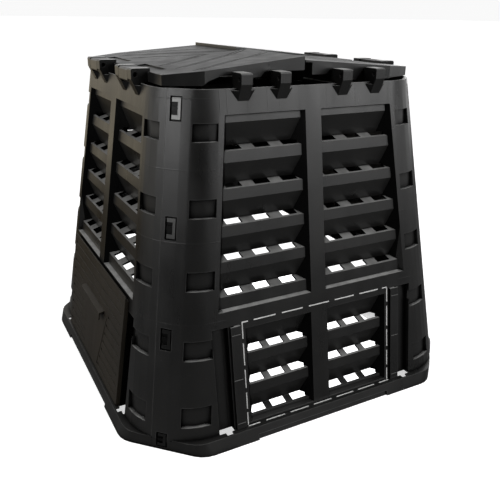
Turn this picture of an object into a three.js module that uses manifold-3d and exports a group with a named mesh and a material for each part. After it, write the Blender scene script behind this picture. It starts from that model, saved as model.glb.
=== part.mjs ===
// Compost bin: four leaning louvred walls that clip together, a hatch and a split lid.
// Millimetres, +Z up, the origin at the centre of the ground rectangle, the hatch on the -Y side.

import * as THREE from 'three';
import { mergeVertices } from 'three/addons/utils/BufferGeometryUtils.js';
import Module from 'manifold-3d';

const wasm = await Module();
wasm.setup();

const { lerp, degToRad } = THREE.MathUtils;

// Driving dimensions of the walls
const rim_height = 767;
const ground_width = 896;
const rim_width = 664;
const wall_thickness = 4;
const clearance = 0.4;
const overrun = 3;

// Corners: a slanted flat between two round bends, both narrower at the rim
const ground_corner_leg = 94;
const rim_corner_leg = 73;
const ground_bend_radius = 135;
const rim_bend_radius = 100;
const eighth_turn = Math.PI / 4;
const bend_steps = 4;

// Corner seam: one edge of each wall covers, the other steps in and tucks behind
const cover_turn = degToRad(51);
const tuck_turn = degToRad(54);
const joggle_width = 10;

// Corner clips: a tongue of the tucked edge stands in a slot of the covering edge
const clip_slot_width = 26;
const clip_slot_height = 49;
const top_clip_drop = 13;
const lowest_clip_top = 43;
const clip_foot_height = 8;
const clip_count = 4;
const clip_step_count = 5;
const clip_play = 3.5;
const clip_spine_width = 6;
const clip_sink = 1.5;

// Blind windows down both bends of a wall
const window_count = 5;
const top_window_drop = 65;
const lowest_window_top = 105;
const window_height = 36;
const window_growth = 2.5;
const window_start_turn = degToRad(1);
const window_end_turn = degToRad(31);
const window_top_depth = 6;
const window_sill_depth = 9;
const window_steps = 2;

// Skirt round the foot
const skirt_stand_out = 22;
const ledge_stand_out = 12;
const ledge_height = 30;
const skirt_bend_radius = 60;
const skirt_bend_steps = 3;
const toe_half_length = 187;
const toe_height = 13;
const toe_depth = 4.5;

// Louvres: sloping plates above perforated shelves, sunk behind the face
const opening_drop = 50;
const upper_opening = {
  top: rim_height - opening_drop,
  bottom: 309,
  inner: 20,
  outer_top: 212,
  outer_bottom: 258,
  top_strip: 17,
  shelf_count: 5,
  lowest_shelf_rise: 28.5,
  highest_shelf_drop: 73.5,
  hole_width: 38,
  hole_pitch: 69,
};
const lower_opening = {
  top: 262,
  bottom: 35,
  inner: 22.5,
  outer_top: 196,
  outer_bottom: 196,
  top_strip: 5,
  shelf_count: 3,
  lowest_shelf_rise: 8.5,
  highest_shelf_drop: 65.5,
  hole_width: 39,
  hole_pitch: 55.5,
};
const louvre_recess = 10.5;
const louvre_run = 22.5;
const shelf_drop = 7;
const strip_height = 23.5;
const shelf_lip = 5;
const holes_per_shelf = 3;
const flank_draft_share = 0.65;
const sill_draft_share = 0.25;

// Hatch rails and the channels beside them, on every wall
const channel_inner = 238;
const channel_outer = 276;
const channel_top = 274;
const channel_depth = 17;
const ledge_slot_inner = 246;
const ledge_slot_outer = 262;
const rail_web_inner = 210;
const rail_web_outer = 225;
const rail_edge = 234;
const rail_proud = 6.5;
const rail_thickness = 2.6;
const hatch_opening_half = 203;
const hatch_opening_top = 279.5;

// Hinge hooks along the rim, measured from the rim
const hook_places = [78, 168];
const hook_width = 25;
const hook_tip_drop = 25;
const hook_shoulder_rise = 8;
const hook_rise = 30;
const hook_stand_out = 19;
const hook_reach_in = 23;
const hook_underside_rise = 7;
const hook_edge = 3;
const gusset_spread = 15;
const gusset_drop = 4;
const hinge_stand_out = 10;
const hinge_rise = 18;
const pin_radius = 4.6;
const pin_sides = 8;
const pin_length = 12;

// Lid flaps, measured from the rim. The high half of each laps over the low half of the other.
const lid_setback = 32;
const eave_setback = 16;
const high_ridge_rise = 56;
const low_ridge_rise = 48;
const roof_eave_rise = 24;
const high_half_start = 35;
const eave_corner_width = 34;
const eave_corner_length = 79;
const eave_bottom_rise = 3;
const ridge_gap = 2.4;
const ridge_flange = 15;
const eave_step_length = 41;
const eave_step_depth = 2.5;
const eave_step_inner = 50;
const eave_step_outer = 192;
const notch_margin = 3.5;
const knuckle_gap = 1.5;
const knuckle_rise = 29;
const knuckle_edge = 4;

// Lower edges of the gables: distance from the ridge and rise above the rim
const high_gable = [
  [100, 27],
  [110, 16],
  [142, 16],
  [150, 25],
  [191, 24],
  [229, 12],
  [240, 3.5],
];
const low_gable = [
  [19, 17],
  [57, 17],
  [67, 27],
  [99, 27],
  [116, 1.5],
  [139, 1.5],
  [159, 27],
  [189, 26],
  [206, 1.5],
  [240, 1.5],
];

// Roof grooves: distance from the middle line and from the ridge
const groove_width = 6;
const groove_depth = 1.8;
const short_groove = [
  [0, 65],
  [126, 255],
];
const middle_groove = [
  [40, 12],
  [95, 72],
  [130, 127],
  [165, 182],
  [203, 246],
];
const long_groove = [
  [150, 12],
  [183, 62],
  [208, 122],
  [243, 182],
  [272, 236],
];

// Hatch
const hatch_top = 308;
const hatch_thickness = 3.4;
const hatch_corner_radius = 9;
const hatch_band = 14;
const hatch_groove_top = 286;
const hatch_groove_pitch = 26;
const hatch_groove_depth = 1.6;
const hatch_groove_width = 7;
const hatch_groove_count = 10;
const hatch_shield_top = 200;
const hatch_shield_bottom = 46;
const hatch_shield_top_half = 115;
const hatch_shield_bottom_half = 58;
const hatch_shield_proud = 1.2;
const hatch_grip_half = 92;
const hatch_grip_height = 22;
const hatch_grip_reach = 14;

// Colours
const wall_colour = 0x2f2e2c;
const lid_colour = 0x353534;
const hatch_colour = 0x2e2c29;

// Solids and their joining
const eighth_tangent = Math.tan(eighth_turn / 2);

function solid(geometry) {
  const bare = geometry.clone();
  bare.deleteAttribute('normal');
  bare.deleteAttribute('uv');
  const merged = mergeVertices(bare);
  return new wasm.Manifold(new wasm.Mesh({
    numProp: 3,
    vertProperties: new Float32Array(merged.attributes.position.array),
    triVerts: new Uint32Array(merged.index.array),
  }));
}

function geometry_of(body) {
  const mesh = body.getMesh();
  const geometry = new THREE.BufferGeometry();
  geometry.setAttribute('position', new THREE.BufferAttribute(mesh.vertProperties, mesh.numProp));
  geometry.setIndex(new THREE.BufferAttribute(mesh.triVerts, 1));
  geometry.computeVertexNormals();
  return geometry;
}

function join(bodies) {
  return bodies.reduce((whole, body) => whole.add(body));
}

function cut(body, tools) {
  return tools.reduce((rest, tool) => rest.subtract(tool), body);
}

// A closed body between two like outlines, each square to the axis. An outline's points give the next
// two coordinates in the order X, Y, Z, X, Y.
function loft(axis, start, start_outline, end, end_outline) {
  if (end < start) {
    return loft(axis, end, end_outline, start, start_outline);
  }
  const shape = start_outline.map(([p, q]) => new THREE.Vector2(p, q));
  const turned = THREE.ShapeUtils.area(shape) < 0;
  const given = [start_outline, end_outline];
  const outlines = turned ? given.map((outline) => outline.toReversed()) : given;
  const count = start_outline.length;
  const positions = [];
  const faces = [];
  outlines.forEach((outline, index) => {
    for (const [p, q] of outline) {
      const point = [0, 0, 0];
      point[axis] = index === 0 ? start : end;
      point[(axis + 1) % 3] = p;
      point[(axis + 2) % 3] = q;
      positions.push(...point);
    }
    const flat = outline.map(([p, q]) => new THREE.Vector2(p, q));
    for (const [a, b, c] of THREE.ShapeUtils.triangulateShape(flat, [])) {
      const upright = THREE.ShapeUtils.area([flat[a], flat[b], flat[c]]) > 0;
      const first = index * count;
      faces.push(...(upright === (index === 1) ? [a, b, c] : [a, c, b]).map((corner) => corner + first));
    }
  });
  for (let here = 0; here < count; here += 1) {
    const next = (here + 1) % count;
    faces.push(here, next, count + next);
    faces.push(here, count + next, count + here);
  }
  const geometry = new THREE.BufferGeometry();
  geometry.setAttribute('position', new THREE.Float32BufferAttribute(positions, 3));
  geometry.setIndex(faces);
  return geometry;
}

function prism(axis, start, end, outline) {
  return loft(axis, start, outline, end, outline);
}

// A box between two opposite corners
function block(one, other) {
  const size = one.map((value, axis) => Math.abs(other[axis] - value));
  const centre = one.map((value, axis) => (other[axis] + value) / 2);
  return new THREE.BoxGeometry(...size).translate(...centre);
}

// An outline whose corners are replaced by smooth curves
function rounded(corners, radius, steps) {
  const outline = [];
  corners.forEach((corner, index) => {
    const here = new THREE.Vector2(...corner);
    const before = new THREE.Vector2(...corners[(index + corners.length - 1) % corners.length]);
    const after = new THREE.Vector2(...corners[(index + 1) % corners.length]);
    const start = before.sub(here).setLength(radius).add(here);
    const end = after.sub(here).setLength(radius).add(here);
    const curve = new THREE.QuadraticBezierCurve(start, here, end);
    for (const point of curve.getPoints(steps)) {
      outline.push([point.x, point.y]);
    }
  });
  return outline;
}

// Wall outline in plan at a height. A wall is drawn as the one on the +X side.
const lean = (ground_width - rim_width) / 2 / rim_height;

function wall_level(height) {
  const rise = height / rim_height;
  return {
    height,
    half: lerp(ground_width, rim_width, rise) / 2,
    leg: lerp(ground_corner_leg, rim_corner_leg, rise),
    radius: lerp(ground_bend_radius, rim_bend_radius, rise),
  };
}

function flat_half_length(level) {
  return level.leg * Math.SQRT1_2 - level.radius * eighth_tangent;
}

// A point of the corner's outline, on this wall's bend or on the next wall's bend
function on_bend(level, turn, inset, next_bend) {
  const reach = level.radius - inset;
  const far = level.half - level.radius;
  const near = level.half - level.leg - level.radius * eighth_tangent;
  const centre = next_bend ? [near, far] : [far, near];
  return [centre[0] + reach * Math.cos(turn), centre[1] + reach * Math.sin(turn)];
}

// A point of the corner's flat, a distance to this wall's side of its middle
function on_flat(level, along, inset) {
  const middle = level.half - level.leg / 2;
  return [middle + (along - inset) * Math.SQRT1_2, middle - (along + inset) * Math.SQRT1_2];
}

function arc(level, start, end, inset, steps, next_bend = false) {
  const points = [];
  for (let step = 0; step <= steps; step += 1) {
    points.push(on_bend(level, lerp(start, end, step / steps), inset, next_bend));
  }
  return points;
}

function mirrored(points) {
  return points.map(([x, y]) => [x, -y]);
}

const tucked_inset = wall_thickness + clearance;

// The wall's section in plan: the covering edge, the face, and the edge that steps in and tucks behind
function wall_outline(level) {
  const seam = Math.PI / 2 - cover_turn - clearance / level.radius;
  const joggle = seam - joggle_width / level.radius;
  const inner = tucked_inset + wall_thickness;
  return [
    ...mirrored(arc(level, cover_turn, eighth_turn, 0, 1, true)),
    ...mirrored(arc(level, eighth_turn, 0, 0, bend_steps)),
    ...arc(level, 0, seam, 0, bend_steps),
    ...arc(level, seam, eighth_turn, tucked_inset, 1),
    ...arc(level, eighth_turn, tuck_turn, tucked_inset, 1, true),
    ...arc(level, tuck_turn, eighth_turn, inner, 1, true),
    ...arc(level, eighth_turn, joggle, inner, 1),
    ...arc(level, joggle, 0, wall_thickness, bend_steps),
    ...mirrored(arc(level, 0, eighth_turn, wall_thickness, bend_steps)),
    ...mirrored(arc(level, eighth_turn, cover_turn, wall_thickness, 1, true)),
  ];
}

const ledge_underside = ledge_height - wall_thickness;

function wall_shell() {
  const foot = wall_level(ledge_underside);
  const rim = wall_level(rim_height);
  return solid(loft(2, foot.height, wall_outline(foot), rim.height, wall_outline(rim)));
}

// Skirt: it stands out from the faces and runs flush with the corner flats
const foot_level = wall_level(ledge_underside);
const seam_from_middle = flat_half_length(foot_level) + foot_level.radius * (cover_turn - eighth_turn);
const tuck_from_middle = flat_half_length(foot_level) + foot_level.radius * (tuck_turn - eighth_turn);

function skirt_level(height) {
  const half = ground_width / 2 + lerp(skirt_stand_out, ledge_stand_out, height / ledge_height);
  return {
    height,
    half,
    leg: 2 * (half - foot_level.half) + foot_level.leg,
    radius: skirt_bend_radius,
  };
}

function skirt_outline(level) {
  const inner = tucked_inset + wall_thickness;
  const seam = seam_from_middle + clearance;
  return [
    ...mirrored([on_flat(level, -seam_from_middle, 0)]),
    ...mirrored(arc(level, eighth_turn, 0, 0, skirt_bend_steps)),
    ...arc(level, 0, eighth_turn, 0, skirt_bend_steps),
    on_flat(level, seam, 0),
    on_flat(level, seam, tucked_inset),
    on_flat(level, -tuck_from_middle, tucked_inset),
    on_flat(level, -tuck_from_middle, inner),
    on_flat(level, seam + joggle_width, inner),
    on_flat(level, seam + joggle_width, wall_thickness),
    ...arc(level, eighth_turn, 0, wall_thickness, skirt_bend_steps),
    ...mirrored(arc(level, 0, eighth_turn, wall_thickness, skirt_bend_steps)),
    ...mirrored([on_flat(level, -seam_from_middle, wall_thickness)]),
  ];
}

function ledge_outline(height) {
  const outer = skirt_level(height);
  const wall = wall_level(height);
  const seam = Math.PI / 2 - cover_turn - clearance / wall.radius;
  const inset = wall_thickness / 2;
  const outer_half = [
    ...arc(outer, 0, eighth_turn, 0, skirt_bend_steps),
    on_flat(outer, seam_from_middle + clearance, 0),
  ];
  const inner_half = arc(wall, seam, 0, inset, bend_steps);
  return [
    ...mirrored(outer_half).reverse(),
    ...outer_half,
    ...inner_half,
    ...mirrored(inner_half).reverse(),
  ];
}

function toe_outline(height, half_length, front, back) {
  const face = skirt_level(height).half;
  return [
    [face - back, -half_length],
    [face - front, -half_length],
    [face - front, half_length],
    [face - back, half_length],
  ];
}

function toe_body(low, high, half_length, front, back) {
  const outlines = [low, high].map((height) => toe_outline(height, half_length, front, back));
  return solid(loft(2, low, outlines[0], high, outlines[1]));
}

function skirt() {
  const ground = skirt_level(0);
  const under = skirt_level(ledge_underside);
  const band = solid(loft(2, 0, skirt_outline(ground), under.height, skirt_outline(under)));
  const outlines = [ledge_underside, ledge_height].map(ledge_outline);
  const ledge = solid(loft(2, ledge_underside, outlines[0], ledge_height, outlines[1]));
  const toe_wall = toe_body(
    0,
    toe_height + wall_thickness,
    toe_half_length + wall_thickness,
    wall_thickness / 2,
    toe_depth + wall_thickness,
  );
  const toe_cut = toe_body(-overrun, toe_height, toe_half_length, -overrun, toe_depth);
  return cut(join([band, ledge, toe_wall]), [toe_cut]);
}

// The face's own frame: out from the face, along it, and up, with the face upright. This leans it.
const face_frame = new THREE.Matrix4().set(
  1, 0, -lean, ground_width / 2,
  0, 1, 0, 0,
  0, 0, 1, 0,
  0, 0, 0, 1,
);

function on_face(geometry) {
  return solid(geometry.applyMatrix4(face_frame));
}

// Louvres
function opening_outline(opening, depth, grown, side) {
  const flank = flank_draft_share * depth - grown;
  const sill = sill_draft_share * depth - grown;
  const outline = [
    [opening.inner + flank, opening.bottom + sill],
    [opening.outer_bottom - flank, opening.bottom + sill],
    [opening.outer_top - flank, opening.top - sill],
    [opening.inner + flank, opening.top - sill],
  ];
  return outline.map(([u, z]) => [side * u, z]);
}

function opening_body(opening, front, grown, side) {
  const back = louvre_recess + louvre_run + 2 * wall_thickness;
  const back_outline = opening_outline(opening, back, grown, side);
  const front_outline = opening_outline(opening, front, grown, side);
  return on_face(loft(0, -back, back_outline, -front, front_outline));
}

// Heights of the shelves' front edges, lowest first
function shelf_edges(opening) {
  const lowest = opening.bottom + opening.lowest_shelf_rise;
  const highest = opening.top - opening.highest_shelf_drop;
  const last = opening.shelf_count - 1;
  return Array.from({ length: opening.shelf_count }, (_, shelf) => lerp(lowest, highest, shelf / last));
}

function louvre_path(opening, shift) {
  const path = [
    [opening.top + overrun + 2 * wall_thickness, -louvre_recess],
    [opening.top - opening.top_strip, -louvre_recess],
  ];
  const [lowest, ...others] = shelf_edges(opening);
  for (const edge of others.toReversed()) {
    path.push([edge + shelf_drop, -louvre_recess - louvre_run]);
    path.push([edge, -louvre_recess]);
    path.push([edge - strip_height, -louvre_recess]);
  }
  path.push([lowest + shelf_drop, -louvre_recess - louvre_run]);
  path.push([lowest, -louvre_recess]);
  path.push([opening.bottom - overrun - wall_thickness, -louvre_recess]);
  return path.map(([z, out]) => [z - shift, out - shift]);
}

function louvre_region(opening, shift, front, side) {
  const path = louvre_path(opening, shift);
  const outline = [[path.at(-1)[0], -front], [path[0][0], -front], ...path];
  const reach = opening.outer_bottom + 2 * wall_thickness;
  return on_face(prism(1, 0, side * reach, outline));
}

function shelf_holes(opening, side) {
  const holes = [];
  for (const edge of shelf_edges(opening)) {
    const rise = (edge - opening.bottom) / (opening.top - opening.bottom);
    const middle = (opening.inner + lerp(opening.outer_bottom, opening.outer_top, rise)) / 2;
    const half = opening.hole_width / 2;
    for (let hole = 0; hole < holes_per_shelf; hole += 1) {
      const centre = side * (middle + (hole - (holes_per_shelf - 1) / 2) * opening.hole_pitch);
      holes.push(on_face(block(
        [-louvre_recess - louvre_run - 2 * wall_thickness, centre - half, edge - wall_thickness - overrun],
        [-louvre_recess - shelf_lip, centre + half, edge + shelf_drop],
      )));
    }
  }
  return holes;
}

function louvre_backing(opening, side) {
  const front = wall_thickness / 2;
  const box = opening_body(opening, front, wall_thickness, side);
  return box.intersect(louvre_region(opening, wall_thickness, front, side));
}

function louvre_hollow(opening, side) {
  return opening_body(opening, -overrun, 0, side).intersect(louvre_region(opening, 0, -overrun, side));
}

// Windows on the bends
function window_body(index, side, grown, front) {
  const top = lerp(rim_height - top_window_drop, lowest_window_top, index / (window_count - 1));
  const bottom = top - window_height - index * window_growth;
  const outline = (level, depth) => {
    const spread = grown / level.radius;
    const start = window_start_turn - spread;
    const end = window_end_turn + spread;
    const points = [
      ...arc(level, start, end, front, window_steps),
      ...arc(level, end, start, depth + grown, window_steps),
    ];
    return side > 0 ? points : mirrored(points);
  };
  const low = wall_level(bottom - grown);
  const high = wall_level(top + grown);
  const low_outline = outline(low, window_sill_depth);
  const high_outline = outline(high, window_top_depth);
  return solid(loft(2, low.height, low_outline, high.height, high_outline));
}

// The frame of a corner's flat: out from the flat, along it towards +Y, and up, with the flat upright
function corner_frame(side) {
  const [ground, rim] = [0, rim_height].map(wall_level);
  const middles = [ground, rim].map((level) => level.half - level.leg / 2);
  const fall = (middles[1] - middles[0]) / rim_height;
  return new THREE.Matrix4().set(
    Math.SQRT1_2, -side * Math.SQRT1_2, fall, middles[0],
    side * Math.SQRT1_2, Math.SQRT1_2, side * fall, side * middles[0],
    0, 0, 1, 0,
    0, 0, 0, 1,
  );
}

const clip_tops = Array.from({ length: clip_count }, (_, clip) => (
  lerp(rim_height - top_clip_drop, lowest_clip_top, clip / (clip_count - 1))
));

function clip_slot(top) {
  const slot = block(
    [-wall_thickness - overrun, -clip_slot_width / 2, Math.max(top - clip_slot_height, clip_foot_height)],
    [overrun, clip_slot_width / 2, top],
  );
  return solid(slot.applyMatrix4(corner_frame(-1)));
}

// A tongue with a spine and three bars
function clip_tongue(top) {
  const half = clip_slot_width / 2 - clip_play;
  const inner = half - clip_spine_width;
  const high = top - clip_play;
  const low = Math.max(top - clip_slot_height, clip_foot_height) + clip_play;
  const levels = Array.from({ length: clip_step_count }, (_, step) => (
    lerp(low, high, step / clip_step_count)
  ));
  const outline = [
    [half, low],
    [half, high],
    [-half, high],
    [-half, levels[4]],
    [inner, levels[4]],
    [inner, levels[3]],
    [-half, levels[3]],
    [-half, levels[2]],
    [inner, levels[2]],
    [inner, levels[1]],
    [-half, levels[1]],
    [-half, low],
  ];
  const tongue = prism(0, clearance - tucked_inset - wall_thickness, -clip_sink, outline);
  return solid(tongue.applyMatrix4(corner_frame(1)));
}

// Rails and channels
function rail(side) {
  const web = block(
    [-wall_thickness / 2, side * rail_web_inner, ledge_underside],
    [rail_proud, side * rail_web_outer, channel_top],
  );
  const flange = block(
    [rail_proud - rail_thickness, side * rail_web_inner, ledge_underside],
    [rail_proud, side * rail_edge, channel_top],
  );
  return on_face(web).add(on_face(flange));
}

function channel_wall(side) {
  return on_face(block(
    [-channel_depth - wall_thickness, side * (channel_inner - wall_thickness), ledge_underside],
    [-wall_thickness / 2, side * (channel_outer + wall_thickness), channel_top + wall_thickness],
  ));
}

function channel_hollow(side) {
  return on_face(block(
    [-channel_depth, side * channel_inner, ledge_underside - overrun],
    [overrun, side * channel_outer, channel_top],
  ));
}

function ledge_slot(side) {
  const back = wall_level(ledge_height).half - wall_thickness;
  const front = skirt_level(ledge_height).half - wall_thickness;
  return solid(block(
    [back, side * ledge_slot_inner, ledge_underside - overrun],
    [front, side * ledge_slot_outer, ledge_height + overrun],
  ));
}

// Hinge hooks
const hook_front = rim_width / 2 + hook_stand_out;
const hook_back = rim_width / 2 - hook_reach_in;
const hook_top = rim_height + hook_rise;
const hook_tip_height = rim_height - hook_tip_drop;
const hook_shoulder_height = rim_height + hook_shoulder_rise;
const hinge_reach = rim_width / 2 + hinge_stand_out;
const hinge_height = rim_height + hinge_rise;

function hook(place) {
  const tip = wall_level(hook_tip_height).half;
  const root = wall_level(hook_tip_height + wall_thickness).half;
  const profile = [
    [hook_tip_height, tip - wall_thickness / 2],
    [hook_tip_height, tip],
    [hook_shoulder_height, hook_front],
    [hook_top - hook_edge, hook_front],
    [hook_top, hook_front - hook_edge],
    [hook_top, hook_back],
    [rim_height + hook_underside_rise, hook_back],
    [rim_height - hook_edge, rim_width / 2 - wall_thickness],
    [hook_tip_height + wall_thickness, root - wall_thickness / 2],
  ];
  return solid(prism(1, place - hook_width / 2, place + hook_width / 2, profile));
}

// Webs that widen a hook's foot along the wall, low enough for the lid to swing over
function hook_gusset(place) {
  const top = rim_height - gusset_drop;
  const tip = wall_level(hook_tip_height).half;
  const face = wall_level(top).half;
  const rise = (top - hook_tip_height) / (hook_shoulder_height - hook_tip_height);
  const front = lerp(tip, hook_front, rise);
  const back = face - wall_thickness / 2;
  const half = hook_width / 2;
  return wasm.Manifold.hull([
    [front, place - half, top],
    [front, place + half, top],
    [face, place - half - gusset_spread, top],
    [face, place + half + gusset_spread, top],
    [back, place - half - gusset_spread, top],
    [back, place + half + gusset_spread, top],
    [tip, place - half, hook_tip_height],
    [tip, place + half, hook_tip_height],
    [tip - wall_thickness / 2, place - half, hook_tip_height],
    [tip - wall_thickness / 2, place + half, hook_tip_height],
  ]);
}

function along_x(radius, start, end, y, z) {
  const cylinder = new THREE.CylinderGeometry(radius, radius, Math.abs(end - start), pin_sides);
  return solid(cylinder.rotateZ(Math.PI / 2).translate((start + end) / 2, y, z));
}

function hinge_hole() {
  const radius = (pin_radius + clearance) / Math.cos(Math.PI / pin_sides);
  const reach = Math.max(...hook_places) + hook_width;
  const cylinder = new THREE.CylinderGeometry(radius, radius, 2 * reach, pin_sides);
  return solid(cylinder.translate(hinge_reach, 0, hinge_height));
}

function wall_panel() {
  const sides = [-1, 1];
  const openings = [upper_opening, lower_opening];
  const places = sides.flatMap((side) => hook_places.map((place) => side * place));
  const windows = (grown, front) => sides.flatMap((side) => (
    Array.from({ length: window_count }, (_, index) => window_body(index, side, grown, front))
  ));
  const added = [
    skirt(),
    ...windows(wall_thickness, wall_thickness / 2),
    ...sides.flatMap((side) => openings.map((opening) => louvre_backing(opening, side))),
    ...sides.map(rail),
    ...sides.map(channel_wall),
    ...clip_tops.map(clip_tongue),
    ...places.map(hook),
    ...places.map(hook_gusset),
  ];
  const removed = [
    ...windows(0, -overrun),
    ...sides.flatMap((side) => openings.map((opening) => louvre_hollow(opening, side))),
    ...sides.flatMap((side) => openings.flatMap((opening) => shelf_holes(opening, side))),
    ...sides.map(channel_hollow),
    ...sides.map(ledge_slot),
    ...clip_tops.map(clip_slot),
    hinge_hole(),
  ];
  return cut(join([wall_shell(), ...added]), removed);
}

function hatch_opening() {
  return on_face(block(
    [-louvre_recess - louvre_run - 2 * wall_thickness, -hatch_opening_half, ledge_height],
    [overrun, hatch_opening_half, hatch_opening_top],
  ));
}

// Lid flap, drawn as the one on the -Y side
const lid_half_width = rim_width / 2 - lid_setback;
const eave_reach = rim_width / 2 - eave_setback;
const flap_low = rim_height + clearance;
const flap_high = rim_height + high_ridge_rise + overrun;

// The high half's roof and the low half's fall from the ridge to one eave
function roof_share(ridge_rise) {
  return (ridge_rise - roof_eave_rise) / eave_reach;
}

function roof_height(ridge_rise, y) {
  return rim_height + ridge_rise + roof_share(ridge_rise) * y;
}

function flap_plan(inset) {
  const half = lid_half_width - inset;
  const corner = eave_corner_length - eave_reach + inset * eave_corner_width / eave_corner_length;
  return [
    [-half, -ridge_gap / 2 - inset],
    [-half, corner],
    [eave_corner_width - half, inset - eave_reach],
    [half - eave_corner_width, inset - eave_reach],
    [half, corner],
    [half, -ridge_gap / 2 - inset],
  ];
}

// One half of the room under the roof, down to a lower edge given as distances and rises
function half_region(start, end, ridge_rise, drop, lower_edge) {
  const far = -eave_reach - overrun;
  return solid(prism(0, start, end, [
    [overrun, roof_height(ridge_rise, overrun) - drop],
    [far, roof_height(ridge_rise, far) - drop],
    ...lower_edge.toReversed().map(([distance, rise]) => [-distance, rim_height + rise]),
  ]));
}

const eave_end = [eave_reach + overrun, eave_bottom_rise];
const eave_start = [high_gable.at(-1)[0], eave_bottom_rise];
const outer_reach = lid_half_width + overrun;
const high_edge = [
  [-overrun, high_gable[0][1]],
  ...high_gable,
  eave_start,
  eave_end,
];
const low_edge = [
  [-overrun, low_ridge_rise - wall_thickness],
  [low_gable[0][0], low_ridge_rise - wall_thickness - roof_share(low_ridge_rise) * low_gable[0][0]],
  ...low_gable,
  eave_start,
  eave_end,
];
const open_edge = [
  [-overrun, -overrun],
  [eave_reach + overrun, -overrun],
];

function flap_body() {
  const plan = solid(prism(2, flap_low - overrun, flap_high, flap_plan(0)));
  const room = solid(prism(2, flap_low - 2 * overrun, flap_high, flap_plan(wall_thickness)));
  const step = high_half_start + wall_thickness;
  const outside = join([
    half_region(high_half_start, outer_reach, high_ridge_rise, 0, high_edge),
    half_region(-outer_reach, high_half_start, low_ridge_rise, 0, low_edge),
  ]);
  const inside = join([
    half_region(step, outer_reach, high_ridge_rise, wall_thickness, open_edge),
    half_region(-outer_reach, step, low_ridge_rise, wall_thickness, open_edge),
  ]);
  return { whole: plan.intersect(outside), hollow: room.intersect(inside) };
}

// Room for a hook to pass while the flap swings, through the roof's edge
function hook_notch(place, grown, front) {
  const half = hook_width / 2 + notch_margin + grown;
  const swing = Math.hypot(hinge_reach - hook_back, hook_top - hinge_height) + clearance;
  return solid(block(
    [place - half, -front, flap_low - overrun],
    [place + half, swing - hinge_reach + grown, flap_high],
  ));
}

// A roof half's own frame, with the ridge at zero. This puts it on its slope.
function on_roof(ridge_rise, geometry) {
  return solid(geometry.applyMatrix4(new THREE.Matrix4().set(
    1, 0, 0, 0,
    0, 1, 0, 0,
    0, roof_share(ridge_rise), 1, rim_height + ridge_rise,
    0, 0, 0, 1,
  )));
}

// A shallow step along the roof's edge, on either side of the middle
function eave_step(side, deep, low, high) {
  return on_roof(low_ridge_rise, block(
    [side * (eave_step_inner - deep), -eave_reach - overrun, low],
    [side * (eave_step_outer + deep), eave_step_length - eave_reach + deep, high],
  ));
}

const knuckle_inner = hook_places[0] + hook_width / 2 + knuckle_gap;
const knuckle_outer = hook_places[1] - hook_width / 2 - knuckle_gap;

function knuckle(side) {
  const back = wall_thickness - eave_reach;
  const high = rim_height + knuckle_rise;
  const profile = [
    [back, flap_low],
    [knuckle_edge - hook_front, flap_low],
    [-hook_front, flap_low + knuckle_edge],
    [-hook_front, high - knuckle_edge],
    [knuckle_edge - hook_front, high],
    [back, high],
  ];
  const box = solid(prism(0, side * knuckle_inner, side * knuckle_outer, profile));
  const inner_ends = [side * (knuckle_inner - pin_length), side * (knuckle_inner + clearance)];
  const outer_ends = [side * (knuckle_outer - clearance), side * (knuckle_outer + pin_length)];
  const pins = [inner_ends, outer_ends].map((ends) => (
    along_x(pin_radius, ...ends, -hinge_reach, hinge_height)
  ));
  return join([box, ...pins]);
}

// A groove along a line of points
function roof_groove(line, side) {
  const near = line.map(([across, away]) => [side * across, groove_width - away]);
  const far = line.map(([across, away]) => [side * across, -away]);
  const band = prism(2, -groove_depth, overrun, [...near, ...far.reverse()]);
  return on_roof(side > 0 ? high_ridge_rise : low_ridge_rise, band);
}

function lid_flap() {
  const sides = [-1, 1];
  const { whole, hollow } = flap_body();
  const places = sides.flatMap((side) => hook_places.map((place) => side * place));
  const linings = places.map((place) => hook_notch(place, wall_thickness, eave_reach).intersect(whole));
  const step_floors = sides.map((side) => (
    eave_step(side, wall_thickness, -eave_step_depth - wall_thickness, -eave_step_depth).intersect(whole)
  ));
  const ridge_trim = solid(block(
    [wall_thickness - lid_half_width, -ridge_gap - wall_thickness, rim_height],
    [lid_half_width - wall_thickness, overrun, rim_height + low_ridge_rise - ridge_flange],
  ));
  const tray = join([whole.subtract(hollow), ...linings, ...step_floors]);
  const lines = [short_groove, middle_groove, long_groove];
  const removed = [
    ...places.map((place) => hook_notch(place, 0, eave_reach + overrun)),
    ...sides.map((side) => eave_step(side, 0, -eave_step_depth, high_ridge_rise)),
    ...sides.flatMap((side) => lines.map((line) => roof_groove(line, side))),
    ridge_trim,
  ];
  return join([cut(tray, removed), ...sides.map(knuckle)]);
}

// Hatch, drawn on the +X side like a wall: a grooved plate whose edges wrap round the rails
const hatch_back = rail_proud + clearance;
const hatch_front = hatch_back + hatch_thickness;
const hatch_bottom = ledge_height + clearance;
const hatch_side_inner = rail_edge + clearance;
const hatch_side_outer = hatch_side_inner + hatch_thickness;

function hatch_plate() {
  const outline = rounded([
    [-hatch_side_outer, hatch_bottom],
    [hatch_side_outer, hatch_bottom],
    [hatch_side_outer, hatch_top],
    [-hatch_side_outer, hatch_top],
  ], hatch_corner_radius, bend_steps);
  return on_face(prism(0, hatch_back, hatch_front, outline));
}

function hatch_side(side) {
  const high = hatch_top - hatch_corner_radius;
  const web = block(
    [clearance, side * hatch_side_inner, hatch_bottom],
    [hatch_back + hatch_thickness / 2, side * hatch_side_outer, high],
  );
  const lip = block(
    [clearance, side * (rail_web_outer + clearance), hatch_bottom],
    [rail_proud - rail_thickness - clearance, side * hatch_side_outer, high],
  );
  return on_face(web).add(on_face(lip));
}

function shield_half(height) {
  const share = (height - hatch_shield_bottom) / (hatch_shield_top - hatch_shield_bottom);
  return lerp(hatch_shield_bottom_half, hatch_shield_top_half, share);
}

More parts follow.
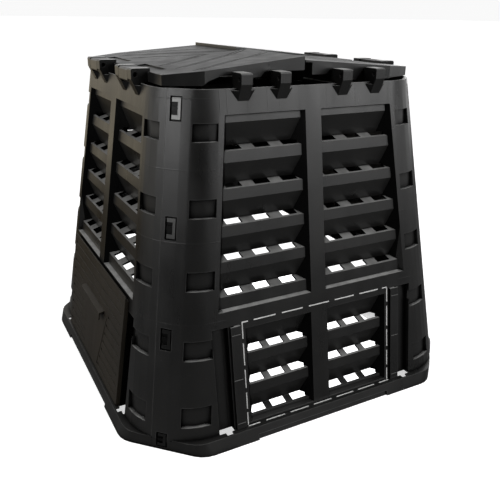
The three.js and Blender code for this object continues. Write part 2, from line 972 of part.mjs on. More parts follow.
function shield_outline(inset) {
  return [
    [inset - hatch_shield_bottom_half, hatch_shield_bottom + inset],
    [hatch_shield_bottom_half - inset, hatch_shield_bottom + inset],
    [hatch_shield_top_half - inset, hatch_shield_top - inset],
    [inset - hatch_shield_top_half, hatch_shield_top - inset],
  ];
}

// Level grooves from the side bands to the shield, or right across above and below it
function hatch_grooves() {
  const grooves = [];
  const far = hatch_side_outer - hatch_band;
  for (let index = 0; index < hatch_groove_count; index += 1) {
    const middle = hatch_groove_top - index * hatch_groove_pitch;
    const low = middle - hatch_groove_width / 2;
    const high = middle + hatch_groove_width / 2;
    const beside = low < hatch_shield_top + hatch_grip_height / 2 && high > hatch_shield_bottom;
    const near = beside ? shield_half(middle) + hatch_groove_width : 0;
    for (const side of [-1, 1]) {
      grooves.push(on_face(block(
        [hatch_front - hatch_groove_depth, side * near, low],
        [hatch_front + overrun, side * far, high],
      )));
    }
  }
  return grooves;
}

// A hooded grip, open below and at both ends
function hatch_grip() {
  const front = hatch_front + hatch_grip_reach;
  const low = hatch_shield_top - hatch_grip_height / 2;
  const high = hatch_shield_top + hatch_grip_height / 2;
  const profile = [
    [high, hatch_front - hatch_thickness / 2],
    [high - hatch_thickness, front],
    [low, front],
    [low, front - hatch_thickness],
    [high - 2 * hatch_thickness, front - hatch_thickness],
    [high - hatch_thickness, hatch_front - hatch_thickness / 2],
  ];
  return on_face(prism(1, -hatch_grip_half, hatch_grip_half, profile));
}

function hatch() {
  const front = hatch_front + hatch_shield_proud;
  const shield = on_face(prism(0, hatch_back + hatch_thickness / 2, front, shield_outline(0)));
  const plate = cut(hatch_plate(), hatch_grooves());
  return join([plate, hatch_side(-1), hatch_side(1), shield, hatch_grip()]);
}

// Assembly
function piece(name, body, colour, roughness, quarter_turns) {
  const material = new THREE.MeshStandardMaterial({ color: colour, roughness, metalness: 0 });
  const mesh = new THREE.Mesh(geometry_of(body), material);
  mesh.name = name;
  mesh.rotation.z = quarter_turns * Math.PI / 2;
  return mesh;
}

const plain_wall = wall_panel();
const front_wall = plain_wall.subtract(hatch_opening());
const flap = lid_flap();

const bin = new THREE.Group();
bin.add(piece('wall_right', plain_wall, wall_colour, 0.55, 0));
bin.add(piece('wall_back', plain_wall, wall_colour, 0.55, 1));
bin.add(piece('wall_left', plain_wall, wall_colour, 0.55, 2));
bin.add(piece('wall_front', front_wall, wall_colour, 0.55, 3));
bin.add(piece('hatch', hatch(), hatch_colour, 0.6, 3));
bin.add(piece('lid_flap_front', flap, lid_colour, 0.5, 0));
bin.add(piece('lid_flap_back', flap, lid_colour, 0.5, 2));

export default bin;
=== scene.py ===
# Looks, light and camera for the compost bin, in metres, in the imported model's own frame.

import math

import bmesh
import bpy
from mathutils import Matrix, Vector


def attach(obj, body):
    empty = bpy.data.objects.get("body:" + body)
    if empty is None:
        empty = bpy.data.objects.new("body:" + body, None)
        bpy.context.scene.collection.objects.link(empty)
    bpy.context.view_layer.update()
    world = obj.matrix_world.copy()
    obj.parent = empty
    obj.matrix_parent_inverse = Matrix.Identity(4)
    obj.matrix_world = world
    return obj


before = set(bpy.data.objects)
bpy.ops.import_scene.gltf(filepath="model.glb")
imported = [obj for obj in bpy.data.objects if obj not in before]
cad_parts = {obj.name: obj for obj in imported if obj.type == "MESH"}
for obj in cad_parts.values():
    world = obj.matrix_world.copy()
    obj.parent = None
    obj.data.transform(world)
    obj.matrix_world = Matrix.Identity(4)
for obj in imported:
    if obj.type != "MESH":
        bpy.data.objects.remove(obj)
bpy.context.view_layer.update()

SCENE = bpy.context.scene
WALLS = ("wall_right", "wall_back", "wall_left", "wall_front")
FLAPS = ("lid_flap_front", "lid_flap_back")
WHITE = (1.0, 1.0, 1.0)
BLACK = (0.0, 0.0, 0.0)
SQUARE_SLOPE = math.sqrt(0.5)

# A wall's face: its distance from the middle at the ground, and how far it leans in for each metre up
RIM_HEIGHT = 0.767
FACE_REACH = 0.448
FACE_INSET_AT_RIM = 0.116
FACE_LEAN = FACE_INSET_AT_RIM / RIM_HEIGHT

# The photograph's camera
PICTURE_SIDE = 500
FOCAL_PIXELS = 594.81
SENSOR_WIDTH = 36.0
VIEW_DEPTHS = (0.05, 500.0)
CAMERA_PLACE = Vector((1.425, -0.737, 0.911))
CAMERA_AZIMUTH = math.radians(61.59)
CAMERA_LOOK_DOWN = math.radians(21.89)
CAMERA_ROLL = math.radians(0.88)


def make_camera():
    back = Vector((
        math.sin(CAMERA_AZIMUTH) * math.cos(CAMERA_LOOK_DOWN),
        -math.cos(CAMERA_AZIMUTH) * math.cos(CAMERA_LOOK_DOWN),
        math.sin(CAMERA_LOOK_DOWN),
    ))
    level = Vector((0, 0, 1)).cross(back).normalized()
    upright = back.cross(level)
    right = level * math.cos(CAMERA_ROLL) + upright * math.sin(CAMERA_ROLL)
    up = upright * math.cos(CAMERA_ROLL) - level * math.sin(CAMERA_ROLL)
    data = bpy.data.cameras.new("camera")
    data.sensor_width = SENSOR_WIDTH
    data.lens = FOCAL_PIXELS / PICTURE_SIDE * SENSOR_WIDTH
    data.clip_start, data.clip_end = VIEW_DEPTHS
    camera = bpy.data.objects.new("camera", data)
    turn = Matrix((right, up, back)).transposed().to_4x4()
    camera.matrix_world = Matrix.Translation(CAMERA_PLACE) @ turn
    SCENE.collection.objects.link(camera)
    SCENE.camera = camera


# Wear with a painted highlight, dust with a painted top light, and painted shade in hollows. A mask's
# range is where it starts and where it is full
WEAR_REACH = 0.0016
WEAR_SAMPLES = 4
WEAR_RANGE = (0.55, 0.95)
WEAR_AND_HIGHLIGHT_RISE = (0.08, 0.45)
LEAST_WEAR = 0.35
WORN_AND_HIGHLIGHT_COLOUR = (0.16, 0.16, 0.157)
DUST_AND_TOP_LIGHT_RISE = (0.92, 0.985)
DUST_AND_TOP_LIGHT_COVER = (0.6, 1.0)
DUST_AND_TOP_LIGHT_COLOUR = (0.36, 0.36, 0.353)
HOLLOW_REACH = 0.006
HOLLOW_SAMPLES = 6
HOLLOW_RANGE = (0.42, 0.88)
PAINTED_SHADE_COLOUR = (0.0015, 0.0015, 0.0015)
PAINTED_SHADE_SHINE = 0.05


class Nodes:
    """A material's node tree, with short ways to add and join nodes."""

    def __init__(self, name):
        self.material = bpy.data.materials.new(name)
        self.material.use_nodes = True
        self.tree = self.material.node_tree
        self.shader = self.tree.nodes["Principled BSDF"]
        coordinates = self.add("ShaderNodeTexCoord").outputs
        self.place, self.normal = coordinates["Object"], coordinates["Normal"]

    def add(self, kind, inputs=None, **settings):
        node = self.tree.nodes.new(kind)
        for key, value in settings.items():
            setattr(node, key, value)
        for key, value in (inputs or {}).items():
            self.put(value, node.inputs[key])
        return node

    def put(self, value, socket):
        if isinstance(value, bpy.types.NodeSocket):
            self.tree.links.new(value, socket)
        else:
            socket.default_value = value

    def shade(self, name, value):
        """Set one of the shader's inputs to a value, or to what a node gives."""
        self.put(value, self.shader.inputs[name])

    def shown(self, name):
        """What a node gives one of the shader's inputs so far."""
        return self.shader.inputs[name].links[0].from_socket

    def math(self, operation, first, second=0.0):
        return self.add("ShaderNodeMath", {0: first, 1: second}, operation=operation).outputs[0]

    def times(self, first, *others):
        for other in others:
            first = self.math("MULTIPLY", first, other)
        return first

    def most(self, first, *others):
        for other in others:
            first = self.math("MAXIMUM", first, other)
        return first

    def minus(self, first, second):
        return self.math("SUBTRACT", first, second)

    def size(self, value):
        return self.math("ABSOLUTE", value)

    def above(self, value, edge):
        return self.math("GREATER_THAN", value, edge)

    def inside(self, value, low, high):
        return self.times(self.above(value, low), self.above(high, value))

    def between(self, value, low, high, start=0.3, end=0.7):
        inputs = {"Value": value, "From Min": start, "From Max": end, "To Min": low, "To Max": high}
        return self.add("ShaderNodeMapRange", inputs).outputs["Result"]

    def split(self, vector):
        outputs = self.add("ShaderNodeSeparateXYZ", {0: vector}).outputs
        return [outputs[axis] for axis in "XYZ"]

    def noise(self, scale, detail=3.0, roughness=0.5, stretch=None):
        vector = self.place
        if stretch:
            mapping = self.add("ShaderNodeMapping", {"Vector": vector, "Scale": stretch})
            vector = mapping.outputs["Vector"]
        inputs = {"Vector": vector, "Scale": scale, "Detail": detail, "Roughness": roughness}
        return self.add("ShaderNodeTexNoise", inputs).outputs["Fac"]

    def blend(self, share, low, high):
        node = self.add("ShaderNodeMix", data_type="RGBA")
        for key, value in {"Factor": share, "A": low, "B": high}.items():
            socket = next(s for s in node.inputs if s.name == key and s.enabled)
            self.put((*value, 1.0) if isinstance(value, tuple) else value, socket)
        return next(s for s in node.outputs if s.enabled)

    def bump(self, height, strength, distance, normal=None):
        inputs = {"Height": height, "Strength": strength, "Distance": distance}
        if normal is not None:
            inputs["Normal"] = normal
        return self.add("ShaderNodeBump", inputs).outputs["Normal"]

    def lines(self, value, centres, half_width):
        """1 on any of the lines where the value equals a centre, 0 beside them."""
        total = 0.0
        for centre in centres:
            away = self.size(self.minus(value, centre))
            total = self.most(self.between(away, 1.0, 0.0, 0.0, half_width), total)
        return total

    def facing_up(self, start, end):
        """0 where the surface's rise is below the start, 1 where it is above the end."""
        return self.between(self.split(self.normal)[2], 0.0, 1.0, start, end)

    def edges(self):
        """1 at the outer edges, 0 away from them."""
        settings = {"samples": WEAR_SAMPLES, "inside": True, "only_local": True}
        depth = self.add("ShaderNodeAmbientOcclusion", {"Distance": WEAR_REACH}, **settings)
        return self.between(depth.outputs["AO"], 1.0, 0.0, *WEAR_RANGE)

    def hollows(self, reach, span):
        """1 in grooves and inner corners, 0 on open faces."""
        room = self.add("ShaderNodeAmbientOcclusion", {"Distance": reach}, samples=HOLLOW_SAMPLES)
        return self.between(room.outputs["AO"], 1.0, 0.0, *span)


# The plastics' mottling, by the scale of each noise. The two bumps have a scale, a strength and a height
CLOUD_SCALE = 6.0
STREAK_SCALE = 24.0
STREAK_STRETCH = (1.0, 1.0, 0.06)
SPECK_SCALE = 190.0
SPECK_RANGE = (0.66, 0.8)
SPECK_SHARE = 0.35
SPECK_LIGHTNESS = 4.0
DUST_AND_TOP_LIGHT_SCALE = 40.0
WEAR_SCALE = 35.0
ROUGHNESS_RANGE = (0.38, 0.62)
WAVES = (11.0, 0.3, 0.0015)
GRAIN = (1500.0, 0.15, 0.0003)
PLASTIC_IOR = 1.49


def plastic(name, colours, roughness, shine=0.5, worn=1.0, dust_and_top_light_foot=None, painted_light=None):
    """Black moulded plastic: cloudy and specked, with streaked gloss, worn edges with a painted
    highlight, and painted shade in its hollows.

    Dust with a painted top light lies on its level faces above dust_and_top_light_foot. marks gives more
    painted highlights and painted shade.
    """
    nodes = Nodes(name)
    dark, light = colours
    clouds = nodes.noise(CLOUD_SCALE, detail=5.0)
    streaks = nodes.noise(STREAK_SCALE, detail=4.0, stretch=STREAK_STRETCH)
    specks = nodes.between(nodes.noise(SPECK_SCALE, detail=2.0), 0.0, SPECK_SHARE, *SPECK_RANGE)
    colour = nodes.blend(nodes.between(clouds, 0.0, 1.0), dark, light)
    colour = nodes.blend(specks, colour, tuple(SPECK_LIGHTNESS * part for part in light))
    if dust_and_top_light_foot is not None:
        height = nodes.split(nodes.place)[2]
        cover = nodes.between(nodes.noise(DUST_AND_TOP_LIGHT_SCALE), *DUST_AND_TOP_LIGHT_COVER)
        # Dust on level tops, partly a painted top light
        dust_and_top_light = nodes.times(nodes.facing_up(*DUST_AND_TOP_LIGHT_RISE), nodes.above(height, dust_and_top_light_foot), cover)
        colour = nodes.blend(dust_and_top_light, colour, DUST_AND_TOP_LIGHT_COLOUR)
    # Lighter edges, only where they face up: partly wear, partly a painted highlight
    cover = nodes.between(nodes.noise(WEAR_SCALE, detail=4.0), LEAST_WEAR * worn, worn)
    wear = nodes.times(nodes.edges(), cover, nodes.facing_up(*WEAR_AND_HIGHLIGHT_RISE))
    colour = nodes.blend(wear, colour, WORN_AND_HIGHLIGHT_COLOUR)
    # Painted shade: a darker colour and less shine in hollows
    painted_shade = nodes.hollows(HOLLOW_REACH, HOLLOW_RANGE)
    if painted_light:
        # Painted highlights and more painted shade on the walls
        painted_highlight, shaded = painted_light(nodes)
        colour = nodes.blend(painted_highlight, colour, PAINTED_HIGHLIGHT_COLOUR)
        painted_shade = nodes.most(nodes.minus(painted_shade, painted_highlight), shaded)
    nodes.shade("Base Color", nodes.blend(painted_shade, colour, PAINTED_SHADE_COLOUR))
    nodes.shade("Specular IOR Level", nodes.between(painted_shade, shine, PAINTED_SHADE_SHINE, 0.0, 1.0))
    mottling = nodes.times(nodes.math("ADD", streaks, clouds), 0.5)
    nodes.shade("Roughness", nodes.between(mottling, *roughness, *ROUGHNESS_RANGE))
    normal = None
    for scale, strength, height in (WAVES, GRAIN):
        normal = nodes.bump(nodes.noise(scale, detail=2.0), strength, height, normal)
    nodes.shade("Normal", normal)
    nodes.shade("IOR", PLASTIC_IOR)
    return nodes


# The clips down each corner: a ground that holds a tongue, with painted shade on the ground and a
# painted highlight on the tongue's bars at its top and foot and on its spine down one side
CLIP_TOPS = (0.754, 0.517, 0.280, 0.043)
CLIP_FOOT = 0.008
CLIP_HEIGHT = 0.049
CLIP_HALF_WIDTH = 0.0128
CLIP_PLAY = 0.0035
CLIP_BAR_SHARE = 0.2
TONGUE_HALF_WIDTH = 0.0095
SPINE_START = 0.0035
GROUND_SHADE = 0.85
PAINTED_HIGHLIGHT_COLOUR = (0.22, 0.22, 0.215)
HIGHLIGHT_LOW_SHARE = 0.1
HIGHLIGHT_FADE = (0.35, 0.7)

# The shaded flanks of recesses and hooks, and the shaded insides of the corners' blind windows
FLANK_TILT = (0.3, 0.7)
POCKET_REACH = 0.015
POCKET_RANGE = (0.6, 0.92)
CORNER_BAND = 0.245
HOOK_SHADE = 0.7
HOOK_FADE = (0.735, 0.755)


def clip_painted_light(nodes, across, height):
    """The clips' painted highlight on the bars and painted shade on the ground, by the place across the
    corner and the height.
    """
    beside = nodes.size(across)
    on_tongue = nodes.above(TONGUE_HALF_WIDTH, beside)
    on_spine = nodes.times(on_tongue, nodes.above(across, SPINE_START))
    highlight_bars, ground = 0.0, 0.0
    for top in CLIP_TOPS:
        foot = max(top - CLIP_HEIGHT, CLIP_FOOT)
        low, high = foot + CLIP_PLAY, top - CLIP_PLAY
        bar = CLIP_BAR_SHARE * (high - low)
        ends = nodes.most(nodes.inside(height, high - bar, high), nodes.inside(height, low, low + bar))
        spine = nodes.times(nodes.inside(height, low, high), on_spine)
        highlight_bars = nodes.most(nodes.times(ends, on_tongue), spine, highlight_bars)
        ground = nodes.most(nodes.inside(height, foot, top), ground)
    # The painted highlight is weaker on the lower clips
    highlight_bars = nodes.times(highlight_bars, nodes.between(height, HIGHLIGHT_LOW_SHARE, 1.0, *HIGHLIGHT_FADE))
    return highlight_bars, nodes.times(ground, nodes.above(CLIP_HALF_WIDTH, beside))


def wall_painted_light(nodes):
    """The painted highlight on the clips' bars, and the painted shade on clips, flanks and blind
    windows.
    """
    east, north, height = nodes.split(nodes.place)
    far_east, far_north = nodes.size(east), nodes.size(north)
    near = nodes.math("MINIMUM", far_east, far_north)
    # Across the corner, positive towards the tongue's spine at every corner
    hand = nodes.math("SIGN", nodes.times(east, north))
    across = nodes.times(nodes.minus(far_north, far_east), SQUARE_SLOPE, hand)
    # Only the outer side of the corners is marked
    product = {0: nodes.normal, 1: nodes.place}
    outward = nodes.add("ShaderNodeVectorMath", product, operation="DOT_PRODUCT").outputs["Value"]
    outward = nodes.above(outward, 0.0)
    highlight_bars, ground = (nodes.times(mark, outward) for mark in clip_painted_light(nodes, across, height))
    ground = nodes.times(nodes.minus(ground, highlight_bars), GROUND_SHADE)
    # A flank faces along its own wall, which is the one that the place is furthest out on
    tilt_east, tilt_north = (nodes.size(part) for part in nodes.split(nodes.normal)[:2])
    on_east = nodes.above(far_east, far_north)
    on_north = nodes.minus(1.0, on_east)
    sideways = nodes.math("ADD", nodes.times(on_east, tilt_north), nodes.times(on_north, tilt_east))
    # Painted shade on sideways flanks and inside the corners' blind windows
    flank = nodes.times(nodes.between(sideways, 0.0, 1.0, *FLANK_TILT), nodes.above(CORNER_BAND, near))
    pocket = nodes.times(nodes.hollows(POCKET_REACH, POCKET_RANGE), nodes.above(near, CORNER_BAND))
    shaded = nodes.most(nodes.minus(pocket, highlight_bars), flank)
    shaded = nodes.times(shaded, nodes.between(height, 1.0, HOOK_SHADE, *HOOK_FADE))
    return highlight_bars, nodes.most(ground, shaded)


# The mould's parting lines: level ones round the corners, and upright ones at the rim
LINE_HALF_WIDTH = 0.0012
LEVEL_LINES = (0.749, 0.611, 0.464, 0.291)
CORNER_START = 0.24
UPRIGHT_LINES = (0.034, 0.083, 0.112, 0.158, 0.205, 0.221)
UPRIGHT_LINES_FOOT = 0.719
LINE_BUMP = (0.3, 0.0005)
LINE_SHARE = 0.15
LINE_LIGHTNESS = 3.0
# Dust and its painted top light lie only above this height
DUST_AND_TOP_LIGHT_FOOT = 0.05


def wall_plastic(name, colours, roughness):
    """The walls' plastic, with dust and a painted top light, painted highlights and shade, and the
    mould's faint parting lines.
    """
    nodes = plastic(name, colours, roughness, dust_and_top_light_foot=DUST_AND_TOP_LIGHT_FOOT, painted_light=wall_painted_light)
    east, north, height = nodes.split(nodes.place)
    along = nodes.math("MINIMUM", nodes.size(east), nodes.size(north))
    level = nodes.lines(height, LEVEL_LINES, LINE_HALF_WIDTH)
    level = nodes.times(level, nodes.above(along, CORNER_START))
    upright = nodes.lines(along, UPRIGHT_LINES, LINE_HALF_WIDTH)
    upright = nodes.times(upright, nodes.above(height, UPRIGHT_LINES_FOOT))
    lines = nodes.most(level, upright)
    nodes.shade("Normal", nodes.bump(lines, *LINE_BUMP, nodes.shown("Normal")))
    pale = tuple(LINE_LIGHTNESS * part for part in colours[1])
    share = nodes.times(lines, LINE_SHARE)
    nodes.shade("Base Color", nodes.blend(share, nodes.shown("Base Color"), pale))
    return nodes


PAINT_COLOURS = ((0.55, 0.55, 0.54), (0.75, 0.75, 0.74))
PAINT_COLOUR_SCALE = 120.0
PAINT_ROUGHNESS = (0.5, 0.65)
PAINT_ROUGHNESS_SCALE = 60.0
PAINT_GRAIN_SCALE = 900.0
PAINT_BUMP = (0.2, 0.0002)


def pale_paint():
    nodes = Nodes("pale_paint")
    wear = nodes.between(nodes.noise(PAINT_COLOUR_SCALE), 0.0, 1.0)
    nodes.shade("Base Color", nodes.blend(wear, *PAINT_COLOURS))
    nodes.shade("Roughness", nodes.between(nodes.noise(PAINT_ROUGHNESS_SCALE), *PAINT_ROUGHNESS))
    nodes.shade("Normal", nodes.bump(nodes.noise(PAINT_GRAIN_SCALE), *PAINT_BUMP))
    return nodes


# Soft edges and smooth bends on the moulded pieces
EDGE_RADIUS = 0.001
EDGE_ANGLE = math.radians(18)
EDGE_SEGMENTS = 2
WELD_DISTANCE = 0.00001


def soften(piece, radius):
    piece.data.polygons.foreach_set("use_smooth", [True] * len(piece.data.polygons))
    weld = piece.modifiers.new("weld", "WELD")
    weld.merge_threshold = WELD_DISTANCE
    bevel = piece.modifiers.new("edges", "BEVEL")
    bevel.width = radius
    bevel.segments = EDGE_SEGMENTS
    bevel.limit_method = "ANGLE"
    bevel.angle_limit = EDGE_ANGLE
    bevel.use_clamp_overlap = True
    normals = piece.modifiers.new("normals", "WEIGHTED_NORMAL")
    normals.keep_sharp = True


def finish_node(name, nodes):
    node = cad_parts[name]
    node.data.materials.clear()
    node.data.materials.append(nodes.material)
    soften(node, EDGE_RADIUS)


# A box's faces, by its corners in the order of low and high first, second and third measure
BOX_FACES = ((0, 1, 3, 2), (4, 6, 7, 5), (0, 4, 5, 1), (2, 3, 7, 6), (0, 2, 6, 4), (1, 5, 7, 3))


def add_box(shape, points):
    corners = [shape.verts.new(point) for point in points]
    for face in BOX_FACES:
        shape.faces.new([corners[index] for index in face])


def on_face(along, height, out, quarter_turns):
    """A point on the face of the right wall, or of the wall that is some quarter turns from it."""
    point = Vector((FACE_REACH + out - FACE_LEAN * height, along, height))
    point.rotate(Matrix.Rotation(quarter_turns * math.pi / 2, 3, "Z"))
    return point


def face_box(shape, along, height, out, quarter_turns=0):
    add_box(shape, [on_face(a, h, o, quarter_turns) for a in along for h in height for o in out])


def new_piece(name, shape, nodes, radius, body="bin"):
    bmesh.ops.recalc_face_normals(shape, faces=shape.faces)
    mesh = bpy.data.meshes.new(name)
    shape.to_mesh(mesh)
    shape.free()
    mesh.materials.append(nodes.material)
    piece = bpy.data.objects.new(name, mesh)
    SCENE.collection.objects.link(piece)
    soften(piece, radius)
    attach(piece, body)


# The painted outline along which the hatch's opening is cut, on the right wall
OUTLINE_REACH = 0.203
OUTLINE_TOP = 0.2775
DASH_HALF_WIDTH = 0.0013
DASH_OUT = (-0.0004, 0.0003)
DASH_EDGE = 0.0001
DASH_STEPS = range(-2, 3)
TOP_PITCH = 0.0731
TOP_HALF_LENGTH = 0.028
TOP_CORNER_LENGTH = 0.016
SIDE_DASHES = (
    (0.2395, 0.2788), (0.1765, 0.2285), (0.1215, 0.166), (0.0705, 0.1105), (0.0305, 0.0615),
)
FOOT_PITCH = 0.0664
FOOT_HALF_LENGTH = 0.0255
FOOT_CORNER_LENGTH = 0.03
FOOT_OUT = (0.0028, 0.0058)
LEDGE_TOP = 0.03


def around(middle, half_width):
    return (middle - half_width, middle + half_width)


def dash_spans(pitch, half_length, corner):
    spans = [around(step * pitch, half_length) for step in DASH_STEPS]
    far = OUTLINE_REACH + DASH_HALF_WIDTH
    return [(-far, corner - far), *spans, (far - corner, far)]


def make_outline(nodes):
    shape = bmesh.new()
    for span in dash_spans(TOP_PITCH, TOP_HALF_LENGTH, TOP_CORNER_LENGTH):
        face_box(shape, span, around(OUTLINE_TOP, DASH_HALF_WIDTH), DASH_OUT)
    for side in (-OUTLINE_REACH, OUTLINE_REACH):
        for span in SIDE_DASHES:
            face_box(shape, around(side, DASH_HALF_WIDTH), span, DASH_OUT)
    thick = [LEDGE_TOP + out for out in DASH_OUT]
    for span in dash_spans(FOOT_PITCH, FOOT_HALF_LENGTH, FOOT_CORNER_LENGTH):
        face_box(shape, span, thick, FOOT_OUT)
    new_piece("cutting_outline", shape, nodes, DASH_EDGE)


# Low ridges across the rails of the three walls whose rails are bare, all but the front wall
RIDGE_WALL_TURNS = range(3)
RIDGE_ALONG = (0.2112, 0.2332)
RIDGE_HEIGHTS = (0.044, 0.1495, 0.255)
RIDGE_HALF_HEIGHT = 0.001
RIDGE_OUT = (0.0062, 0.0076)
RIDGE_EDGE = 0.0004


def make_rail_ridges(nodes):
    shape = bmesh.new()
    for quarter_turns in RIDGE_WALL_TURNS:
        for height in RIDGE_HEIGHTS:
            for side in (-1, 1):
                along = sorted(side * reach for reach in RIDGE_ALONG)
                face_box(shape, along, around(height, RIDGE_HALF_HEIGHT), RIDGE_OUT, quarter_turns)
    new_piece("rail_ridges", shape, nodes, RIDGE_EDGE)


# A roof's plane: its rise at the eave and at the ridge, and how far the eave is from the ridge
EAVE_REACH = 0.316
EAVE_RISE = 0.024
HIGH_RIDGE_RISE = 0.056
LOW_RIDGE_RISE = 0.048

# A groove's points: their distance from the roof's middle line and from the ridge
LOW_SHORT_GROOVE = ((0.0, 0.065), (0.126, 0.255))
HIGH_SHORT_GROOVE = ((0.037, 0.1208), (0.126, 0.255))
MIDDLE_GROOVE = ((0.04, 0.012), (0.095, 0.072), (0.13, 0.127), (0.165, 0.182), (0.203, 0.246))
LONG_GROOVE = ((0.15, 0.012), (0.183, 0.062), (0.208, 0.122), (0.243, 0.182), (0.272, 0.236))

# Lines of painted shade in a groove and beside it: near and far side, low and high side
GROOVE_SHADE_LINES = (
    (0.0, 0.0028, -0.0017, -0.0001),
    (0.0032, 0.006, -0.0017, -0.0001),
    (-0.016, -0.0125, -0.0005, 0.0002),
)
GROOVE_LINE_EDGE = 0.0002


def roof_point(across, along, rise, depth):
    return Vector((across, along, RIM_HEIGHT + rise + (rise - EAVE_RISE) / EAVE_REACH * along + depth))


# Thin dark strips of painted shade in each roof groove and beside it
def make_groove_shade_lines(name, body, half_turns, nodes):
    shape = bmesh.new()
    turn = Matrix.Rotation(half_turns * math.pi, 3, "Z")
    halves = (
        (1, HIGH_RIDGE_RISE, (HIGH_SHORT_GROOVE, MIDDLE_GROOVE, LONG_GROOVE)),
        (-1, LOW_RIDGE_RISE, (LOW_SHORT_GROOVE, MIDDLE_GROOVE, LONG_GROOVE)),
    )
    for side, rise, grooves in halves:
        for groove in grooves:
            for start, end in zip(groove, groove[1:]):
                for near, far, low, high in GROOVE_SHADE_LINES:
                    add_box(shape, [
                        turn @ roof_point(side * across, beside - away, rise, depth)
                        for across, away in (start, end)
                        for beside in (near, far)
                        for depth in (low, high)
                    ])
    new_piece(name, shape, nodes, GROOVE_LINE_EDGE, body)


# The sky's brightness by a ray's rise: white at the horizon, grey above it and dim below it
SKY_LEVELS = ((-0.3, 0.1), (-0.03, 0.95), (0.05, 0.95), (0.2, 0.47), (1.0, 0.5))

# A pale floor for the eye, and a darker one just below it that the bin reflects
FLOOR_REACH = 150.0
FLOOR_GREYS = (0.87, 0.89)
FLOOR_GLOW = 0.6
UNDER_FLOOR_REACH = 12.0
UNDER_FLOOR_GREYS = (0.13, 0.15)
UNDER_FLOOR_DROP = 0.001
FLOOR_SCALE = 1.5
FLOOR_ROUGHNESS = 0.9
FLOOR_SHINE = 0.1

# Lights: name, place, aim, width and height, radiance, colour
LIGHTS = (
    ("top", (0.3, 0.6, 3.0), (0.0, 0.0, 0.4), (2.0, 2.0), 1.8, WHITE),
    ("right", (2.6, 1.4, 1.55), (0.4, 0.0, 0.7), (2.0, 1.3), 3.3, WHITE),
    ("front", (0.8, -3.2, 1.55), (0.3, -0.4, 0.6), (3.2, 0.9), 3.8, WHITE),
    ("left", (-2.6, -1.3, 1.4), (0.0, -0.4, 0.6), (1.6, 1.2), 0.7, (1.0, 0.94, 0.84)),
    ("back", (-1.4, 2.6, 1.2), (0.0, 0.3, 0.4), (1.4, 1.2), 1.5, WHITE),
)

# Cards that show only in reflections: name, place, aim, width and height, colour
CARDS = (
    ("dark_card", (2.5, -1.3, 0.5), (0.3, -0.3, 0.4), (2.6, 2.6), (0.02, 0.02, 0.02)),
    ("side_card", (1.2, -3.0, 0.1), (0.4, 0.0, 0.4), (2.2, 1.2), (0.02, 0.02, 0.02)),
    ("front_card", (-0.85, -3.3, 0.65), (0.35, -0.42, 0.6), (1.8, 1.0), (0.7, 0.68, 0.62)),
    ("warm_card", (-3.0, -1.2, 0.4), (0.0, -0.45, 0.4), (3.2, 1.4), (0.66, 0.58, 0.43)),
    ("warm_ground", (-2.0, -1.4, 0.0005), (-2.0, -1.4, 1.0), (2.6, 2.6), (0.06, 0.045, 0.025)),
    ("strip", (0.25, -3.3, 1.35), (0.35, -0.42, 0.7), (0.45, 0.7), (3.0, 3.0, 3.0)),
)
CARD_CLOUDS = (0.9, 1.0)

# Lights inside the bin that show white through the shelves' holes: name, height, side
INNER_LIGHTS = (("low_glow", 0.004, 0.79), ("high_glow", 0.229, 0.725))
INNER_RADIANCE = 1.3


def turn_from(place, aim, axis):
    """The turn that points an axis from a place to its aim."""
    return (Vector(aim) - Vector(place)).to_track_quat(axis, "Y").to_euler()


def area_light(name, place, aim, size, radiance, colour):
    data = bpy.data.lights.new(name, "AREA")
    data.shape = "RECTANGLE"
    data.size, data.size_y = size
    data.energy = radiance * math.pi * size[0] * size[1]
    data.color = colour
    light = bpy.data.objects.new(name, data)
    light.location = place
    light.rotation_euler = turn_from(place, aim, "-Z")
    SCENE.collection.objects.link(light)
    return light


def make_sky():
    world = bpy.data.worlds.new("studio")
    world.use_nodes = True
    tree = world.node_tree
    direction = tree.nodes.new("ShaderNodeTexCoord").outputs["Generated"]
    split = tree.nodes.new("ShaderNodeSeparateXYZ")
    tree.links.new(direction, split.inputs[0])
    ramp = tree.nodes.new("ShaderNodeMapRange")
    ramp.inputs["From Min"].default_value = -1.0
    tree.links.new(split.outputs["Z"], ramp.inputs["Value"])
    levels = tree.nodes.new("ShaderNodeValToRGB")
    levels.color_ramp.interpolation = "EASE"
    tree.links.new(ramp.outputs["Result"], levels.inputs["Fac"])
    points = levels.color_ramp.elements
    while len(points) < len(SKY_LEVELS):
        points.new(0.5)
    for point, (rise, level) in zip(points, SKY_LEVELS):
        point.position = (rise + 1.0) / 2.0
        point.color = (level, level, level, 1.0)
    background = tree.nodes["Background"]
    tree.links.new(levels.outputs["Color"], background.inputs["Color"])
    SCENE.world = world


def make_sheet(name, nodes, size, place=(0, 0, 0), aim=None):
    """A flat sheet of the studio, level or turned to its aim."""
    mesh = bpy.data.meshes.new(name)
    shape = bmesh.new()
    bmesh.ops.create_grid(shape, x_segments=1, y_segments=1, size=0.5)
    bmesh.ops.scale(shape, vec=(*size, 1.0), verts=shape.verts)
    shape.to_mesh(mesh)
    shape.free()
    mesh.materials.append(nodes.material)
    sheet = bpy.data.objects.new(name, mesh)
    sheet.location = place
    if aim:
        sheet.rotation_euler = turn_from(place, aim, "Z")
    SCENE.collection.objects.link(sheet)
    return sheet


def floor_material(name, greys):
    nodes = Nodes(name)
    clouds = nodes.between(nodes.noise(FLOOR_SCALE), 0.0, 1.0)
    nodes.shade("Base Color", nodes.blend(clouds, *((grey, grey, grey) for grey in greys)))
    nodes.shade("Roughness", FLOOR_ROUGHNESS)
    nodes.shade("Specular IOR Level", FLOOR_SHINE)
    return nodes


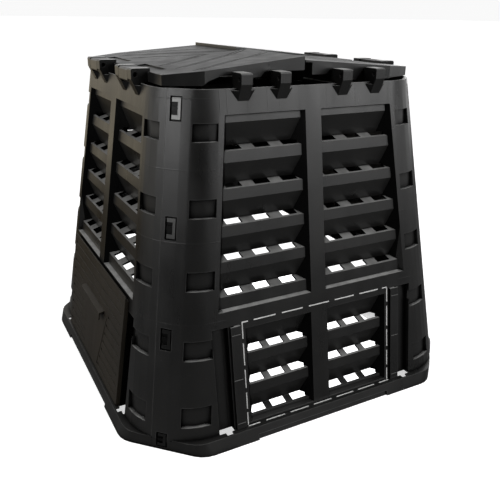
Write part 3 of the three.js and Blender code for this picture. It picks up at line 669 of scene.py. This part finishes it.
def make_floors():
    white = floor_material("floor", FLOOR_GREYS)
    white.shade("Emission Color", (*WHITE, 1.0))
    white.shade("Emission Strength", FLOOR_GLOW)
    pale = make_sheet("floor", white, (FLOOR_REACH, FLOOR_REACH))
    pale.visible_diffuse = False
    pale.visible_glossy = False
    pale.visible_shadow = False
    grey = floor_material("under_floor", UNDER_FLOOR_GREYS)
    size = (UNDER_FLOOR_REACH, UNDER_FLOOR_REACH)
    dark = make_sheet("under_floor", grey, size, (0, 0, -UNDER_FLOOR_DROP))
    dark.visible_camera = False


def make_card(name, place, aim, size, colour):
    nodes = Nodes(name)
    clouds = nodes.between(nodes.noise(1.0), *CARD_CLOUDS)
    nodes.shade("Emission Color", nodes.blend(clouds, BLACK, colour))
    nodes.shade("Emission Strength", 1.0)
    nodes.shade("Base Color", (*BLACK, 1.0))
    nodes.shade("Specular IOR Level", 0.0)
    card = make_sheet(name, nodes, size, place, aim)
    card.visible_camera = False
    card.visible_diffuse = False
    card.visible_shadow = False


def make_inner_light(name, height, side):
    glow = area_light(name, (0, 0, height), (0, 0, 1), (side, side), INNER_RADIANCE, WHITE)
    glow.visible_camera = True
    glow.visible_diffuse = False
    glow.visible_glossy = False


def make_studio():
    SCENE.view_settings.view_transform = "Standard"
    make_sky()
    make_floors()
    for light in LIGHTS:
        area_light(*light)
    for card in CARDS:
        make_card(*card)
    for light in INNER_LIGHTS:
        make_inner_light(*light)


# The plastics' dark and light colours, and their lowest and highest roughness
WALL_COLOURS = ((0.0065, 0.0065, 0.0064), (0.0105, 0.0102, 0.0098))
LID_COLOURS = ((0.007, 0.007, 0.007), (0.011, 0.011, 0.0107))
# The hatch's brown tint is a painted warm light
WARM_LIT_HATCH_COLOURS = ((0.014, 0.0112, 0.0078), (0.022, 0.0175, 0.012))
RIDGE_COLOURS = ((0.035, 0.035, 0.034), (0.07, 0.07, 0.068))
GROOVE_SHADE_COLOURS = ((0.0015, 0.0015, 0.0014), (0.003, 0.003, 0.0028))
SATIN = (0.27, 0.4)
DULL = (0.42, 0.56)
SCUFFED = (0.45, 0.6)
MATT = (0.7, 0.9)

make_camera()
wall_look = wall_plastic("wall_plastic", WALL_COLOURS, SATIN)
for wall in WALLS:
    finish_node(wall, wall_look)
lid_look = plastic("lid_plastic", LID_COLOURS, SATIN)
for flap in FLAPS:
    finish_node(flap, lid_look)
finish_node("hatch", plastic("warm_lit_hatch_plastic", WARM_LIT_HATCH_COLOURS, DULL, shine=0.3, worn=0.12))
make_outline(pale_paint())
# The rail ridges are coloured much lighter than the walls
make_rail_ridges(plastic("pale_ridge_plastic", RIDGE_COLOURS, SCUFFED))
# Painted shade along the roof's grooves
groove_shade_look = plastic("groove_painted_shade", GROOVE_SHADE_COLOURS, MATT, shine=0.04, worn=0.0)
make_groove_shade_lines("front_groove_shade_lines", "front_flap", 0, groove_shade_look)
make_groove_shade_lines("back_groove_shade_lines", "back_flap", 1, groove_shade_look)
make_studio()
